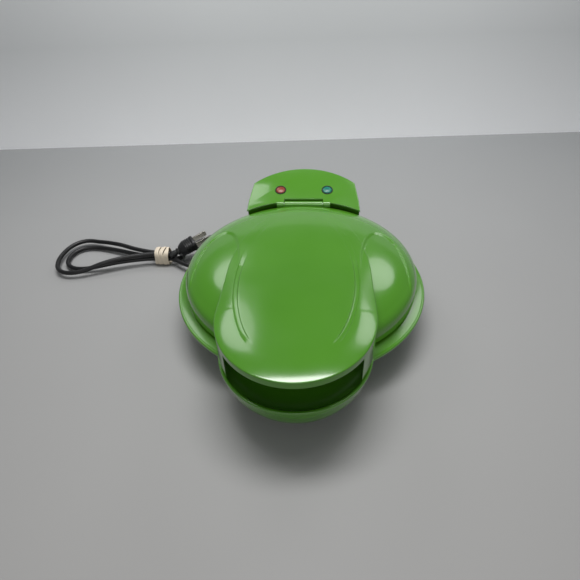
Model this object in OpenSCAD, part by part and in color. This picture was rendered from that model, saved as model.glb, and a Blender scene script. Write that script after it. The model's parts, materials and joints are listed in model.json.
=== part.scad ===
// Countertop pie maker with a hinged lid, four pie wells and a tied mains lead.
// Sizes in millimetres. X is right, Y is back, Z is up, and the feet stand on z = 0.

/* [Body] */
// how far the base's rim stands out beyond the lid
rim_w = 9; // [6:0.5:12]
// height of the rim's top face
rim_z = 36.5; // [32:0.5:42]
// wall of the moulded green housings
wall = 3; // [2:0.1:4]
// height of the rubber feet below the base
foot_h = 5; // [3:0.5:9]
// radius of the circle that the feet stand on
foot_circle_r = 74; // [60:1:80]
// radius of one rubber foot
foot_r = 9; // [6:0.5:11]

/* [Front handle] */
// radius of the round lower lip
lip_r = 61.5; // [52:0.5:68]
// how far the lip's centre lies inside the lid's front edge
lip_back = 10; // [4:0.5:16]
// height of the lip's rim
lip_z = 46.6; // [43:0.2:50]
// depth of the thumb dish in the lip
dish_d = 9; // [5:0.5:10]
// half width of the upper handle
tongue_w = 63; // [56:0.5:68]
// reach of the upper handle's rounded front
tongue_l = 74; // [66:0.5:80]
// how far the widest place of the handle lies inside the lid's front edge
tongue_back = 22.5; // [16:0.5:28]
// height of the upper handle at its front edge
tongue_z = 82; // [78:0.5:88]
// fall of the upper handle to the rear, in degrees
tongue_fall = 3.6; // [2:0.1:5]
// height of the skirt above the finger opening
skirt_h = 8; // [6:0.5:12]
// width of the finger opening
window_w = 100; // [84:1:106]

/* [Lid] */
// space between the cooking plates' edge and the lid's wall
plate_gap = 3.5; // [2:0.1:6]
// height of the joint between the two cooking plates
joint_z = 40.3; // [39:0.1:42]
// height of the lid's dome
dome_z = 73.5; // [70:0.5:78]

/* [Hinge tower] */
// half width of the tower at its front
tower_w = 60.5; // [54:0.5:66]
// half width of the tower at its rear corners
tower_rear_w = 57; // [50:0.5:62]
// distance of the rear corners behind the lid's rear edge
tower_back = 16.5; // [12:0.5:24]
// how far the rounded rear wall bulges behind the corners
tower_bulge = 22; // [14:0.5:28]
// height of the tower's top near the lid's rear edge
tower_z = 68.8; // [68:0.2:73]
// rise of the tower's top to the rear, in degrees
tower_tilt = 17.7; // [10:0.1:20]
// how far the tower's hood reaches over the lid's rear edge
hood_in = 11.5; // [9:0.5:12]
// how much shorter the hood is at its sides
hood_ends = 8; // [6:0.5:10]
// how far the hinge pin lies inside the lid's rear edge
hinge_back = 10.5; // [9:0.1:11]
// height of the hinge pin
hinge_z = 64.5; // [64:0.1:65.5]
// radius of the hinge pin
pin_r = 1.6; // [1.2:0.1:2]
// radius of the hinge barrels
barrel_r = 3.5; // [3:0.1:3.8]
// width of the lid's barrel
knuckle_w = 42; // [34:1:48]
// width of one barrel of the tower
ear_w = 8; // [5:0.5:12]

/* [Lights] */
// half distance between the two lights
light_x = 26; // [20:0.5:32]
// distance of the lights behind the lid's rear edge
light_back = 6; // [5:0.5:9]
// radius of a light's lens
lens_r = 5.6; // [4.5:0.1:7]
// how far a lens stands out of the tower
lens_h = 0.6; // [0.4:0.1:1.6]

/* [Cooking plates] */
// radius of both cooking plates
plate_r = 102; // [96:0.5:102.5]
// thickness of the plates
plate_t = 2.4; // [1.8:0.1:3]
// mouth radius of a pie well
well_r = 34; // [30:0.5:35]
// floor radius of a pie well
well_floor_r = 27; // [22:0.5:29]
// depth of a pie well
well_d = 17; // [12:0.5:18]
// distance of the wells from the middle
well_circle_r = 52; // [50:0.5:54]
// depth of the upper plate's recesses
recess_d = 4; // [2:0.2:5]
// width of the pastry edge round each well
crimp_w = 2; // [1:0.2:2.5]
// height of the pastry edge
crimp_h = 1.6; // [0.8:0.1:2]

/* [Heating parts] */
// radius of the heating tube
heater_r = 3.4; // [2.5:0.1:4]
// radius of the ring that the heating tube makes
heater_ring_r = 52; // [46:1:58]
// thickness of the sheet metal pans
pan_t = 0.8; // [0.5:0.1:1.2]

/* [Mains lead] */
// diameter of the mains lead
cord_d = 5; // [4:0.1:6]
// distance from one end of the hank to the other
hank_len = 172; // [150:1:200]
// half width of the hank's wide end
hank_wide = 30; // [20:1:40]
// loops of the hank
hank_loops = 2; // [2:1:4]

/* [Hidden] */
$fn = 64;
gap = 0.3;
eps = 0.01;
bottom_z = foot_h;
floor_t = 2.4;
lid_r = plate_r + plate_gap + wall;
base_r = lid_r + rim_w;
lip_y = lid_r - lip_back;
tongue_y = lid_r - tongue_back;
tower_y = lid_r + tower_back;
hinge_y = lid_r - hinge_back;
light_y = lid_r + light_back;
tower_seam = lid_r - 8;
tower_arc_r = (tower_rear_w * tower_rear_w + tower_bulge * tower_bulge) / (2 * tower_bulge);
tower_arc_y = tower_y + tower_bulge - tower_arc_r;
front_reach = lip_y + lip_r;
rear_reach = tower_y + tower_bulge;
mid_y = (front_reach - rear_reach) / 2;
seat_z = joint_z - gap - plate_t;
lid_z = joint_z + 1.2;
crown_r = 1500;
lid_in_r = lid_r - wall;
base_in_r = plate_r + 1;
well_angles = [45, 135, 225, 315];
dome_n = 16;
shoulder_z = lid_z + 5;
slot_w = knuckle_w + 2 * gap;
slot_gap = 0.8;
notch_gap = 0.6;
tower_gap = 2;
rear_cut_w = 80;
rear_cut_h = 1.8;
tan_tilt = tan(tower_tilt);

green = [0.32, 0.55, 0.18];
dark = [0.12, 0.12, 0.13];
steel = [0.72, 0.73, 0.75];

// Everything is drawn about the middle of the round body and then moved,
// so that the middle of the whole footprint stands on the origin.
module at() { translate([0, mid_y, 0]) children(); }

// The lid's dome, as a height over the distance from the middle.
function dome_h(r, top, edge, rr) = edge + (top - edge) * pow(max(0, 1 - pow(r / rr, 3)), 1 / 2.6);

module dome(top, edge, rr, z0) {
  rotate_extrude($fn = 96)
    polygon(concat([[0, z0], [rr, z0]],
      [for (i = [0 : dome_n]) let (a = 90 * i / dome_n, r = rr * cos(a)) [r, dome_h(r, top, edge, rr)]]));
}

module base_outer() {
  rotate_extrude($fn = 96)
    polygon([[0, bottom_z], [base_r - 29.5, bottom_z], [base_r - 20, bottom_z + 2.6],
      [base_r - 11.5, bottom_z + 10.4], [base_r - 5.5, bottom_z + 19.5], [base_r - 2, rim_z - 6],
      [base_r - 0.3, rim_z - 3.8], [base_r, rim_z - 2.4], [base_r - 0.3, rim_z - 1], [base_r - 1.4, rim_z],
      [base_r - 8.5, seat_z + plate_t - 1.4], [0, seat_z + plate_t - 1.4]]);
}

module base_inner() {
  rotate_extrude($fn = 96)
    polygon([[0, bottom_z - 1], [base_r - 30.5, bottom_z - 1], [base_r - 30.5, bottom_z + wall],
      [base_r - 21.5, bottom_z + wall + 2.8], [base_r - 14, bottom_z + wall + 10],
      [base_r - 8.7, bottom_z + wall + 18], [base_r - 8, seat_z - 4], [base_in_r - 4, seat_z - 4],
      [base_in_r - 4, seat_z], [base_in_r, seat_z], [base_in_r, joint_z + 20], [0, joint_z + 20]]);
}

module lip_outer() {
  translate([0, -lip_y, 0]) rotate_extrude($fn = 96)
    polygon([[0, bottom_z + 4], [lip_r - 22, bottom_z + 4], [lip_r - 14, bottom_z + 9],
      [lip_r - 7, bottom_z + 19], [lip_r - 2.6, lip_z - 13], [lip_r - 0.6, lip_z - 5],
      [lip_r, lip_z - 1.6], [lip_r - 0.3, lip_z - 0.4], [lip_r - 1.2, lip_z],
      [lip_r - 2.2, lip_z - 0.4], [lip_r - 3.6, lip_z - 2], [lip_r - 9, lip_z - dish_d * 0.55],
      [lip_r - 20, lip_z - dish_d * 0.85], [lip_r - 36, lip_z - dish_d], [0, lip_z - dish_d]]);
}

module lip_inner() {
  translate([0, -lip_y, 0]) rotate_extrude($fn = 96)
    polygon([[0, bottom_z + 4 + wall], [lip_r - 23, bottom_z + 4 + wall], [lip_r - 16.5, bottom_z + 11 + wall],
      [lip_r - 10, bottom_z + 19 + wall], [lip_r - 6, lip_z - 13], [lip_r - 9, lip_z - dish_d * 0.55 - wall],
      [lip_r - 20, lip_z - dish_d * 0.85 - wall], [0, lip_z - dish_d - wall]]);
}

// The tower's plan: two straight sides and a rear wall that is one arc.
module tower_plan(in) {
  intersection() {
    polygon([[-tower_w - 2 + in, lid_r - 40], [tower_w + 2 - in, lid_r - 40],
      [tower_w - in, tower_seam], [tower_rear_w - in, tower_y], [tower_rear_w - in, rear_reach + 5],
      [-tower_rear_w + in, rear_reach + 5], [-tower_rear_w + in, tower_y], [-tower_w + in, tower_seam]]);
    translate([0, tower_arc_y]) circle(r = tower_arc_r - in, $fn = 128);
  }
}

// A slab under the tower's sloping top: everything of it lies lower than the slope, less a step down.
module under_slope(down) {
  translate([0, tower_seam, tower_z - down]) rotate([tower_tilt, 0, 0])
    translate([-90, -60, -160]) cube([180, 150, 160]);
}

module tower_body(in, down, z0) {
  intersection() {
    translate([0, 0, z0]) linear_extrude(height = 120) tower_plan(in);
    under_slope(down);
  }
}

// The tower's lower half, up to the level where the lid and the base meet.
module tower_low(in, z0) {
  translate([0, 0, z0]) linear_extrude(height = seat_z + plate_t - (in > 0 ? 0 : 0.2) - z0 + (in > 0 ? 5 : 0)) tower_plan(in);
}

module lid_clear(r) { translate([0, 0, seat_z + plate_t - 1]) cylinder(r = r, h = 90, $fn = 128); }

module hinge_bar(x, w, r) { translate([x, hinge_y, hinge_z]) rotate([0, 90, 0]) cylinder(r = r, h = w, $fn = 48); }

module base_shell() {
  color(green) at() difference() {
    union() {
      base_outer();
      difference() { lip_outer(); lid_clear(lid_r + tower_gap); }
      tower_low(0, bottom_z);
    }
    base_inner();
    lip_inner();
    tower_low(wall, bottom_z + wall);
    translate([0, gland_c[1] - mid_y, 0] + [gland_c[0], 0, gland_z]) rotate([0, 90, gland_a])
      translate([0, 0, -8]) cylinder(r = gland_r, h = 20, $fn = 32);
    for (a = screw_angles) rotate(a) translate([screw_circle_r, 0, 0]) cylinder(r = 2, h = 12, $fn = 24);
  }
}

// The hood's front edge, further back towards its sides.
function hood_y(x) = let (r = lid_r - hood_in + hood_ends * abs(x) / tower_w) sqrt(r * r - x * x);
module hood_plan() {
  polygon(concat([for (i = [-13 : 13]) let (x = i * (tower_w + 4) / 13) [x, hood_y(x)]],
    [[tower_w + 4, rear_reach], [-tower_w - 4, rear_reach]]));
}
function ear_x(s) = s > 0 ? slot_w / 2 : -slot_w / 2 - ear_w;

// The upper part of the tower: a sloping top that reaches over the lid's edge as a hood,
// walls, the holes of the lights, the slot of the lid's barrel and an ear on each side of it.
module tower_cover() {
  color(green) at() difference() {
    union() {
      difference() {
        tower_body(0, 0, seat_z + plate_t + 0.1);
        tower_body(wall, wall, seat_z + plate_t - 1);
        lid_clear(lid_r + tower_gap);
      }
      difference() {
        intersection() {
          tower_body(0, 0, seat_z + plate_t + 0.1);
          difference() { cylinder(r = lid_r + tower_gap + wall, h = 200, $fn = 128); cylinder(r = lid_r + tower_gap, h = 200, $fn = 128); }
        }
        cylinder(r = base_r + 0.2, h = seat_z + plate_t, $fn = 96);
      }
      intersection() {
        difference() { tower_body(0, 0, seat_z + plate_t + 0.1); under_slope(wall); }
        linear_extrude(height = 200) hood_plan();
      }
      for (s = [-1, 1]) {
        hinge_bar(ear_x(s), ear_w, barrel_r);
        translate([ear_x(s), hinge_y, hinge_z - barrel_r]) cube([ear_w, barrel_r + 3, barrel_r * 2]);
      }
    }
    translate([-slot_w / 2, hinge_y - 20, hinge_z - barrel_r - 3]) cube([slot_w, 20 + barrel_r + slot_gap, 40]);
    hinge_bar(ear_x(-1) - 1, slot_w + 2 * ear_w + 2, pin_r + 0.05);
    for (s = [-1, 1]) translate([s * light_x, light_y, slope_z(light_y)]) rotate([tower_tilt, 0, 0]) union() {
      translate([0, 0, -20]) cylinder(r = lens_r + gap, h = 30, $fn = 48);
      translate([0, 0, -20]) cylinder(r = lens_r + flange_w + gap, h = 20 - lens_seat, $fn = 48);
    }
  }
}
function slope_z(y) = tower_z + (y - tower_seam) * tan_tilt;

module bottom_cover() {
  color(dark) at() difference() {
    translate([0, 0, bottom_z]) cylinder(r = base_r - 30.8, h = floor_t, $fn = 96);
    for (a = screw_angles) rotate(a) translate([cover_screw_r, 0, 0]) cylinder(r = 1.8, h = 30, $fn = 24);
    for (k = [-2 : 2]) translate([k * 9 - 1.5, -14, 0]) cube([3, 28, 30]);
  }
}

module rubber_feet() {
  color(dark) at() for (a = well_angles) rotate(a) translate([foot_circle_r, 0, 0])
    rotate_extrude($fn = 40) polygon([[0, 0], [foot_r - 1, 0], [foot_r, 1], [foot_r, foot_h], [0, foot_h]]);
}

screw_angles = [0, 90, 180, 270];
screw_circle_r = base_r - 26;
cover_screw_r = base_r - 36;
module bottom_screws() {
  color(steel) at() for (a = screw_angles) rotate(a) translate([cover_screw_r, 0, 0]) union() {
    translate([0, 0, bottom_z - 1.6]) cylinder(r = 3.2, h = 1.6, $fn = 24);
    translate([0, 0, bottom_z - 1.6]) cylinder(r = 1.5, h = 9, $fn = 24);
  }
}

module well_cut(r, rf, d, z) {
  rotate_extrude($fn = 56) polygon([[0, z - d], [rf - 2, z - d], [rf, z - d + 1.2], [r, z], [r, z + 10], [0, z + 10]]);
}

// One pressed plate with four wells whose walls are as thick as the plate, and a pastry edge round each.
module lower_plate() {
  top = joint_z - gap;
  color(dark) at() difference() {
    union() {
      translate([0, 0, top - plate_t]) cylinder(r = plate_r, h = plate_t, $fn = 96);
      for (a = well_angles) rotate(a) translate([well_circle_r, 0, 0]) rotate_extrude($fn = 56)
        polygon([[0, top - well_d - plate_t], [well_floor_r - 1, top - well_d - plate_t],
          [well_floor_r + plate_t, top - well_d], [well_r + plate_t, top - 0.5], [0, top - 0.5]]);
    }
    for (a = well_angles) rotate(a) translate([well_circle_r, 0, 0]) well_cut(well_r, well_floor_r, well_d, top);
    for (a = well_angles) rotate(a) translate([well_circle_r, 0, 0]) translate([0, 0, top - crimp_h])
      cylinder(r = well_r + crimp_w, h = 10, $fn = 56);
    for (a = plate_screw_angles) rotate(a) translate([plate_screw_r, 0, top - 10]) cylinder(r = 2.1, h = 20, $fn = 24);
  }
}
plate_screw_angles = [0, 90, 180, 270];
plate_screw_r = plate_r - 12;
module lower_plate_screws() {
  top = joint_z - gap;
  color(steel) at() for (a = plate_screw_angles) rotate(a) translate([plate_screw_r, 0, 0]) union() {
    translate([0, 0, top - plate_t - 9]) cylinder(r = 1.8, h = 9 + plate_t, $fn = 24);
    translate([0, 0, top - plate_t - 9]) cylinder(r = 4, h = 7, $fn = 24);
  }
}

module ring(rr, r) { rotate_extrude($fn = 96) translate([rr, 0]) circle(r = r, $fn = 20); }
module heater(z) {
  translate([0, 0, z]) ring(heater_ring_r, heater_r);
  for (a = [101, 79]) rotate(a) translate([heater_ring_r + 1, 0, z]) rotate([0, 90, 0]) cylinder(r = heater_r - 0.6, h = 24, $fn = 20);
}
heater_z = joint_z - gap - well_d - plate_t - gap - heater_r;
upper_heater_z = joint_z + gap + recess_d + plate_t + gap + heater_r;
module lower_heater() { color(steel) at() union() heater(heater_z); }
module heater_clamps() {
  color(steel) at() for (a = [0, 180, 270]) rotate(a) translate([heater_ring_r - 7, -5, heater_z - heater_r - gap - 1.2]) cube([14, 10, 1.2]);
}
module lower_pan() {
  z = heater_z - heater_r - gap - 1.2;
  color(steel) at() difference() {
    translate([0, 0, z - pan_t]) cylinder(r = heater_ring_r + 18, h = pan_t, $fn = 96);
    translate([0, 0, z - 5]) cylinder(r = 12, h = 10, $fn = 48);
  }
}

module thermostat() {
  color(dark) at() translate([0, 0, joint_z - gap - plate_t - 0.2 - 9]) union() {
    cylinder(r = 9, h = 9, $fn = 48);
    translate([-14, -3, 2]) cube([28, 6, 1]);
  }
}
module thermal_fuse() {
  color(steel) at() translate([well_circle_r + 22, -10, joint_z - gap - plate_t - gap - 2.4]) rotate([-90, 0, 0]) cylinder(r = 2.4, h = 20, $fn = 24);
}
module terminal_block() {
  color([0.9, 0.9, 0.86]) at() translate([-17, tower_y - 7, bottom_z + wall]) difference() {
    cube([34, 12, 12]);
    for (k = [0 : 2]) translate([6 + k * 11, -1, 6]) rotate([-90, 0, 0]) cylinder(r = 2, h = 14, $fn = 24);
  }
}
module lamp_holders() {
  color([0.85, 0.85, 0.8]) at() for (s = [-1, 1]) translate([s * light_x, light_y, slope_z(light_y)]) rotate([tower_tilt, 0, 0])
    translate([0, 0, -wall - 14]) cylinder(r = 3, h = 12, $fn = 32);
}
flange_w = 1.6;
flange_t = 1.3;
lens_seat = wall * cos(tower_tilt) - 0.01;
module lens(s) {
  translate([s * light_x, light_y, slope_z(light_y)]) rotate([tower_tilt, 0, 0]) rotate_extrude($fn = 48)
    polygon([[0, -lens_seat - 0.1 - flange_t], [lens_r + flange_w, -lens_seat - 0.1 - flange_t],
      [lens_r + flange_w, -lens_seat - 0.1], [lens_r, -lens_seat - 0.1],
      [lens_r, lens_h - 0.5], [lens_r - 0.6, lens_h], [0, lens_h + 0.3]]);
}
module red_lens() { color([0.55, 0.25, 0.2]) at() lens(-1); }
module green_lens() { color([0.1, 0.5, 0.42]) at() lens(1); }
module hinge_pin() { color(steel) at() hinge_bar(ear_x(-1), slot_w + 2 * ear_w, pin_r); }

// The gland sits in the tower's rear wall, left of the middle, square to the wall.
gland_turn = 35;
gland_z = 18;
gland_r = 6;
gland_out = 15;
gland_a = 90 + gland_turn;
gland_dir = [-sin(gland_turn), cos(gland_turn), 0];
gland_c = [-tower_arc_r * sin(gland_turn), tower_arc_y + tower_arc_r * cos(gland_turn) + mid_y];
module strain_relief() {
  color(dark) translate([gland_c[0], gland_c[1], gland_z]) rotate([0, 90, gland_a]) difference() {
    union() {
      translate([0, 0, -wall - 2]) cylinder(r = gland_r - 0.1, h = wall + 2.2, $fn = 32);
      translate([0, 0, 0.4]) cylinder(r = gland_r + 2, h = 2, $fn = 32);
      translate([0, 0, 0.2]) cylinder(r = cord_d / 2 + 1.8, h = gland_out - 0.2, $fn = 32);
    }
  }
}

// Upper handle: rounded front, sides that run back over the dome.
module tongue_plan(in) {
  n = 40;
  polygon(concat(
    [for (i = [0 : n]) let (a = 180 + 180 * i / n) [(tongue_w - in) * cos(a), -tongue_y + (tongue_l - in) * sin(a)]],
    [for (i = [0 : n]) let (a = 180 * i / n) [(tongue_w - in) * cos(a), -tongue_y + 54 + 96 * sin(a)]]));
}
module under_crown(down) {
  translate([0, -tongue_y - tongue_l, tongue_z - down]) rotate([-tongue_fall, 0, 0]) translate([0, -60, -crown_r])
    rotate([-90, 0, 0]) cylinder(r = crown_r, h = 360, $fn = 720);
}
module tongue_body(in, down, z0) {
  intersection() {
    translate([0, 0, z0]) linear_extrude(height = 100) tongue_plan(in);
    translate([-90, -190, 0]) cube([180, 300, 120]);
    under_crown(down);
  }
}
// A short web that carries the barrel on the lid's shoulder.
module barrel_web() {
  translate([-knuckle_w / 2, hinge_y - 4, hinge_z - 8]) cube([knuckle_w, 4, 8 + barrel_r * 0.5]);
}
module lid_shell() {
  color(green) at() difference() {
    union() {
      dome(dome_z, shoulder_z, lid_r, lid_z);
      tongue_body(0, 0, lip_z + 1);
      hinge_bar(-knuckle_w / 2, knuckle_w, barrel_r);
      barrel_web();
    }
    difference() {
      dome(dome_z - wall, shoulder_z - 1, lid_in_r, lid_z - 1);
      hinge_bar(-knuckle_w / 2, knuckle_w, barrel_r);
    }
    difference() {
      tongue_body(wall, wall, lip_z - 5);
      difference() { cylinder(r = lid_r, h = 200, $fn = 96); cylinder(r = lid_in_r, h = 200, $fn = 96); }
      translate([-100, -20, 0]) cube([200, 200, 200]);
    }
    intersection() {
      translate([-window_w / 2, -260, 0]) cube([window_w, 260 - lid_r - 4, 100]);
      under_crown(skirt_h);
    }
    hinge_bar(-knuckle_w / 2 - 1, knuckle_w + 2, pin_r + 0.05);
    for (s = [-1, 1]) hinge_bar(s > 0 ? knuckle_w / 2 : -knuckle_w / 2 - 2 * gap - ear_w, ear_w + 2 * gap, barrel_r + notch_gap);
    translate([-rear_cut_w / 2, hinge_y - 10, lid_z - 1]) cube([rear_cut_w, 40, 1 + rear_cut_h]);
  }
}
module upper_plate() {
  z = joint_z + gap;
  color(dark) at() difference() {
    union() {
      translate([0, 0, z]) cylinder(r = plate_r, h = plate_t, $fn = 96);
      for (a = well_angles) rotate(a) translate([well_circle_r, 0, z + 0.5]) cylinder(r1 = well_r + 1, r2 = well_r - 3 + plate_t, h = recess_d + plate_t - 0.5, $fn = 56);
    }
    for (a = well_angles) rotate(a) translate([well_circle_r, 0, z - 1]) cylinder(r1 = well_r - 1, r2 = well_r - 4, h = recess_d + 1, $fn = 56);
    for (a = plate_screw_angles) rotate(a) translate([plate_screw_r, 0, z - 10]) cylinder(r = 2.1, h = 20, $fn = 24);
  }
}
module upper_plate_screws() {
  z = joint_z + gap;
  color(steel) at() for (a = plate_screw_angles) rotate(a) translate([plate_screw_r, 0, 0]) union() {
    translate([0, 0, z + 0.1]) cylinder(r = 1.8, h = 10, $fn = 24);
    translate([0, 0, z + plate_t + 2]) cylinder(r = 4, h = 8, $fn = 24);
  }
}
module upper_heater() { color(steel) at() union() heater(upper_heater_z); }
module upper_clamps() {
  color(steel) at() for (a = [0, 180, 270]) rotate(a) translate([heater_ring_r - 7, -5, upper_heater_z + heater_r + gap]) cube([14, 10, 1.2]);
}
module upper_pan() {
  color(steel) at() translate([0, 0, upper_heater_z + heater_r + gap + 1.2]) difference() {
    cylinder(r = heater_ring_r + 18, h = pan_t, $fn = 96);
    translate([0, 0, -5]) cylinder(r = 12, h = 10, $fn = 48);
  }
}

// Mains lead. The route is drawn by eye on the table behind and left of the body.
function unit(v) = v / norm(v);
function tangent(p, i) = unit(i == 0 ? p[1] - p[0] : i == len(p) - 1 ? p[i] - p[i - 1] : p[i + 1] - p[i - 1]);
module tube(p, r, n) {
  m = len(p);
  t = [for (i = [0 : m - 1]) tangent(p, i)];
  s = [for (i = [0 : m - 1]) unit(cross(t[i], [0, 0, 1]))];
  u = [for (i = [0 : m - 1]) cross(s[i], t[i])];
  pts = concat([for (i = [0 : m - 1]) for (k = [0 : n - 1]) p[i] + r * (cos(360 * k / n) * s[i] + sin(360 * k / n) * u[i])],
    [p[0], p[m - 1]]);
  faces = concat(
    [for (i = [0 : m - 2]) for (k = [0 : n - 1]) [i * n + k, (i + 1) * n + (k + 1) % n, i * n + (k + 1) % n]],
    [for (i = [0 : m - 2]) for (k = [0 : n - 1]) [i * n + k, (i + 1) * n + k, (i + 1) * n + (k + 1) % n]],
    [for (k = [0 : n - 1]) [m * n, k, (k + 1) % n]],
    [for (k = [0 : n - 1]) [m * n + 1, (m - 1) * n + (k + 1) % n, (m - 1) * n + k]]);
  polyhedron(points = pts, faces = faces, convexity = 8);
}

// A smooth curve through chosen points, with k steps between neighbours.
function pt(c, i) = c[max(0, min(len(c) - 1, i))];
function blend(a, b, c, d, t) = 0.5 * (2 * b + (c - a) * t + (2 * a - 5 * b + 4 * c - d) * t * t + (3 * b - a - 3 * c + d) * t * t * t);
function curve(c, k) = concat([for (i = [0 : len(c) - 2]) for (j = [0 : k - 1]) blend(pt(c, i - 1), pt(c, i), pt(c, i + 1), pt(c, i + 2), j / k)], [c[len(c) - 1]]);

cord_r = cord_d / 2;
waist_x = -158;
waist_y = 82;
hank_right = -120;
hank_mid = hank_right - hank_len / 2;
waist_t = acos((waist_x - hank_mid) / (hank_len / 2));
t_end = 360 * hank_loops - waist_t;
rise = cord_d + 1.3;
lift = 1.6;
hank_nest = cord_d * 3.4;
// The later loop lies inside the first one, so it is a little shorter.
function hank_x(t) = hank_mid + hank_len / 2 * cos(t) + hank_nest * t / t_end * (1 - cos(t)) / 2;
function hq(t) = (hank_x(t) - waist_x) / (hank_len / 2);
function hspread(t) = hq(t) > 0 ? 300 : hank_wide * (1.08 - 0.45 * t / t_end);
function hlow(x) = x > -222 ? 1 : max(0.4, 1 - 0.6 * (-222 - x) / 30);
function hank_at(t) = let (x = hank_x(t))
  [x, waist_y - sin(t) * (cord_d * 0.74 + hspread(t) * hq(t) * hq(t)) + max(0, waist_x - x) * 0.03,
   cord_r + 0.1 + (lift + rise * (t_end - t) / 360) * hlow(x)];
hank_n = 24 * hank_loops;
hank_core = [for (i = [0 : hank_n]) hank_at(waist_t + (t_end - waist_t) * i / hank_n)];
hank_pts = concat([hank_core[0] + [cord_d, 0, 0]], hank_core, [hank_core[hank_n] + [cord_d, 0, 0]]);
hank_end = hank_pts[len(hank_pts) - 1];
hank_start = hank_pts[0];
gland_tip = [gland_c[0], gland_c[1], gland_z] + gland_out * gland_dir;

// Least gap of the hank to itself, measured between points more than three rings apart.
hank_gap = min([for (i = [0 : len(hank_pts) - 8]) for (j = [i + 7 : len(hank_pts) - 1]) norm(hank_pts[i] - hank_pts[j]) - cord_d]);
echo(str("least gap of the hank to itself, mm: ", hank_gap));

cord_pts = curve([hank_end, hank_end + [cord_d, 0, 0], [-145, 93, 2.7], [-140, 103, 2.7], [-135.5, 113, 2.7],
  [-129.5, 122.5, 2.7], [-121, 130, 2.7], [-112, 136, 2.7], [-104, 143.5, 2.7], [-96.5, 151.5, 3.4],
  [-89.1, 158.4, 5.5], [-81.7, 162.4, 9], [-73.7, 162.9, 13], [-66, 160.2, 16.6],
  gland_tip + cord_d * gland_dir, gland_tip], 3);
module cord() { color(dark) tube(cord_pts, cord_r, 8); }
module cord_hank() { color(dark) tube(hank_pts, cord_r, 6); }

band_hi = cord_d + 0.1 + lift + rise * (t_end - waist_t) / 360;
module hank_band() {
  color([0.78, 0.72, 0.6]) translate([waist_x - 13, waist_y, 0]) rotate([90, 0, 90]) difference() {
    linear_extrude(height = 16) translate([-cord_d * 1.62, gap]) square([cord_d * 3.24, band_hi + 1.2]);
    translate([0, 0, -1]) linear_extrude(height = 18) translate([-cord_d * 1.42, gap + 0.9]) square([cord_d * 2.84, band_hi - 0.7]);
  }
}
plug_turn = 32;
module plug_place() { translate(hank_start + [gap, 0, 0]) children(); }
module plug_body() {
  color(dark) plug_place() union() {
    rotate([0, 90, 0]) cylinder(r = cord_r + 0.8, h = 4, $fn = 24);
    translate([4, 0, 0]) rotate([0, 0, plug_turn]) rotate([0, 76, 0]) rotate_extrude($fn = 32)
      polygon([[0, -3.2], [1.8, -2.6], [3, -1.2], [3.4, 0.6], [4.1, 7], [7.4, 16], [7.6, 24], [6.6, 27], [0, 27]]);
  }
}
module plug_blades() {
  color(steel) plug_place() translate([4, 0, 0]) rotate([0, 0, plug_turn]) rotate([0, 76, 0])
    for (s = [-1, 1]) translate([s * 0.4 - 0.75 , s * 5 - 3.1, 27.1]) translate([0, 0, 0]) cube([1.5, 6.2, 17]);
}

base_shell();
tower_cover();
bottom_cover();
rubber_feet();
bottom_screws();
lower_plate();
lower_plate_screws();
lower_heater();
heater_clamps();
lower_pan();
thermostat();
thermal_fuse();
terminal_block();
lamp_holders();
red_lens();
green_lens();
hinge_pin();
strain_relief();
lid_shell();
upper_plate();
upper_heater();
upper_clamps();
upper_pan();
upper_plate_screws();
cord();
cord_hank();
hank_band();
plug_body();
plug_blades();
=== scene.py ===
import bpy
import bmesh
import json
import math
from mathutils import Matrix, Vector


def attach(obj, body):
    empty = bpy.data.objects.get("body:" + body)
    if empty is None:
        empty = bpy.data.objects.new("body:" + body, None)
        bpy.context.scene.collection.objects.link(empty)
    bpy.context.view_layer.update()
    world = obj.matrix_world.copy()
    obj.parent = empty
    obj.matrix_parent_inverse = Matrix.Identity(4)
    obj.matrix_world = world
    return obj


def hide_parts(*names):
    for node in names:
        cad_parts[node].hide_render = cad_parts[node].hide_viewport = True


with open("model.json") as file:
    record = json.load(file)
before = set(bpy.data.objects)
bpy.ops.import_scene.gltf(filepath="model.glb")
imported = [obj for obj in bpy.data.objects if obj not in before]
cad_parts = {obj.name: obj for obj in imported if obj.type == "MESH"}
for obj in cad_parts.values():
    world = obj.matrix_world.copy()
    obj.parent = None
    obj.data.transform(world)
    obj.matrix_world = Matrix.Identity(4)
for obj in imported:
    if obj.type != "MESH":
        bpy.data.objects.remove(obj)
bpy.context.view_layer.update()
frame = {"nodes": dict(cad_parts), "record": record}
scene = bpy.context.scene

# Shapes are written in millimetres about the lid's own axis. MM and MID_Y turn them into
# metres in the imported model's frame, whose origin is the middle of the footprint. The
# lead's points and the camera's place are in that frame already.
MM = 0.001
MID_Y = 6.5
WALL = 3.0

# Base and lower lip.
BASE_R = 117.5
BOTTOM_Z = 5.0
RIM_Z = 36.5
SEAT_TOP = 40.0
LEDGE_IN = 99.0
LEDGE_LOW = 33.6
SEAT_LOW = 37.6
SEAT_R = 103.0
LIP_R = 61.5
LIP_Y = 98.5
LIP_Z = 46.6
DISH_D = 9.0

# Lid. The tongue is the upper handle: two half ellipses with straight sides between them.
LID_R = 108.5
LID_Z = 41.5
SHOULDER_Z = 46.5
DOME_Z = 73.5
LOBE_X = 76.0
LOBE_Y = -34.0
LOBE_HALF_X = 22.0
LOBE_HALF_Y = 71.0
LOBE_DEPTH = 1.3
TONGUE_W = 63.0
TONGUE_L = 74.0
TONGUE_Y = 86.0
TONGUE_Z = 82.0
TONGUE_SIDE = 54.0
TONGUE_REAR = 112.0
TONGUE_FALL = math.tan(math.radians(3.6))
CROWN_R = 1500
ROLL_H = 2.3
ROLL_W = 17
GROOVE_X = -1.0
GROOVE_Y = -38.0
GROOVE_HALF_X = 51.0
GROOVE_HALF_Y = 108.0
GROOVE_BRINK = 2.7
SKIRT_H = 8.0
WINDOW_W = 100.0

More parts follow.
